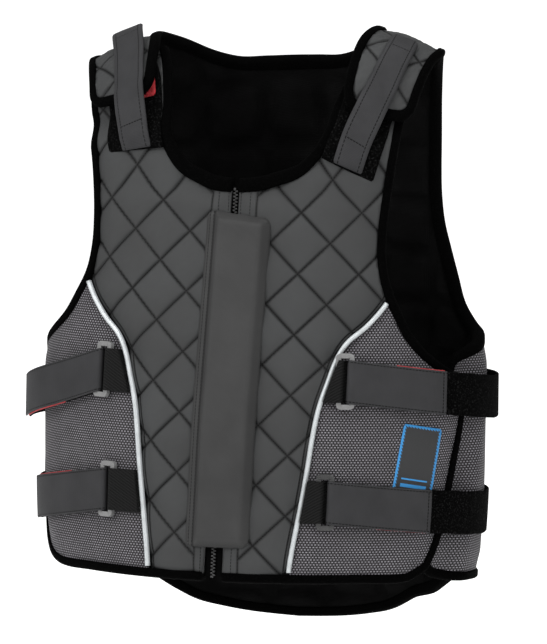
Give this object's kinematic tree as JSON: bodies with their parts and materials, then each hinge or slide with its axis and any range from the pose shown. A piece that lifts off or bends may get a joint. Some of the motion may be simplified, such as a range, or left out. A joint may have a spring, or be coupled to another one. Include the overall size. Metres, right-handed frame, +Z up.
{
  "type": "equestrian body protector",
  "caption": "Padded riding vest with quilted front halves, mesh sides, covered centre zip, shoulder tabs and side straps with rings.",
  "frame": {"origin": "midway between the wearer's shoulders, at the level of the shoulder seats", "axes": "+Z up along the body, the front faces -Y, +X is the wearer's left"},
  "size_m": [0.4548, 0.2746, 0.5683],
  "materials": {
    "quilted_fabric": "smooth quilted cloth",
    "air_mesh": "open air mesh",
    "black_binding": "soft brushed binding",
    "reflective_piping": "reflective silver",
    "cover_fabric": "smooth padded cloth",
    "zip_black": "black zip",
    "webbing": "stitched cloth tab",
    "loop_tape": "fuzzy loop tape",
    "hook_tape": "red hook tape",
    "elastic": "black elastic",
    "ring_grey": "grey moulded plastic",
    "ring_dark": "dark moulded plastic",
    "patch_cloth": "blue-edged woven patch"
  },
  "bodies": {
    "root": {"back_panel": "quilted_fabric", "back_mesh_left": "air_mesh", "back_mesh_right": "air_mesh", "back_binding": "black_binding", "front_panel_left": "quilted_fabric", "front_mesh_left": "air_mesh", "front_piping_left": "reflective_piping", "front_binding_left": "black_binding", "front_panel_right": "quilted_fabric", "front_mesh_right": "air_mesh", "front_piping_right": "reflective_piping", "front_binding_right": "black_binding", "zip_tape": "zip_black", "zip_chain": "zip_black", "zip_cover": "cover_fabric", "shoulder_loop_left": "loop_tape", "shoulder_hook_left": "hook_tape", "shoulder_tab_left": "webbing", "shoulder_loop_right": "loop_tape", "shoulder_hook_right": "hook_tape", "shoulder_tab_right": "webbing", "elastic_upper_left": "elastic", "ring_upper_left": "ring_grey", "strap_tab_upper_left": "webbing", "strap_hook_upper_left": "hook_tape", "strap_loop_upper_left": "loop_tape", "elastic_lower_left": "elastic", "ring_lower_left": "ring_dark", "strap_tab_lower_left": "webbing", "strap_hook_lower_left": "hook_tape", "strap_loop_lower_left": "loop_tape", "elastic_upper_right": "elastic", "ring_upper_right": "ring_grey", "strap_tab_upper_right": "webbing", "strap_hook_upper_right": "hook_tape", "strap_loop_upper_right": "loop_tape", "elastic_lower_right": "elastic", "ring_lower_right": "ring_grey", "strap_tab_lower_right": "webbing", "strap_hook_lower_right": "hook_tape", "strap_loop_lower_right": "loop_tape", "patch": "patch_cloth"}
  },
  "joints": []
}
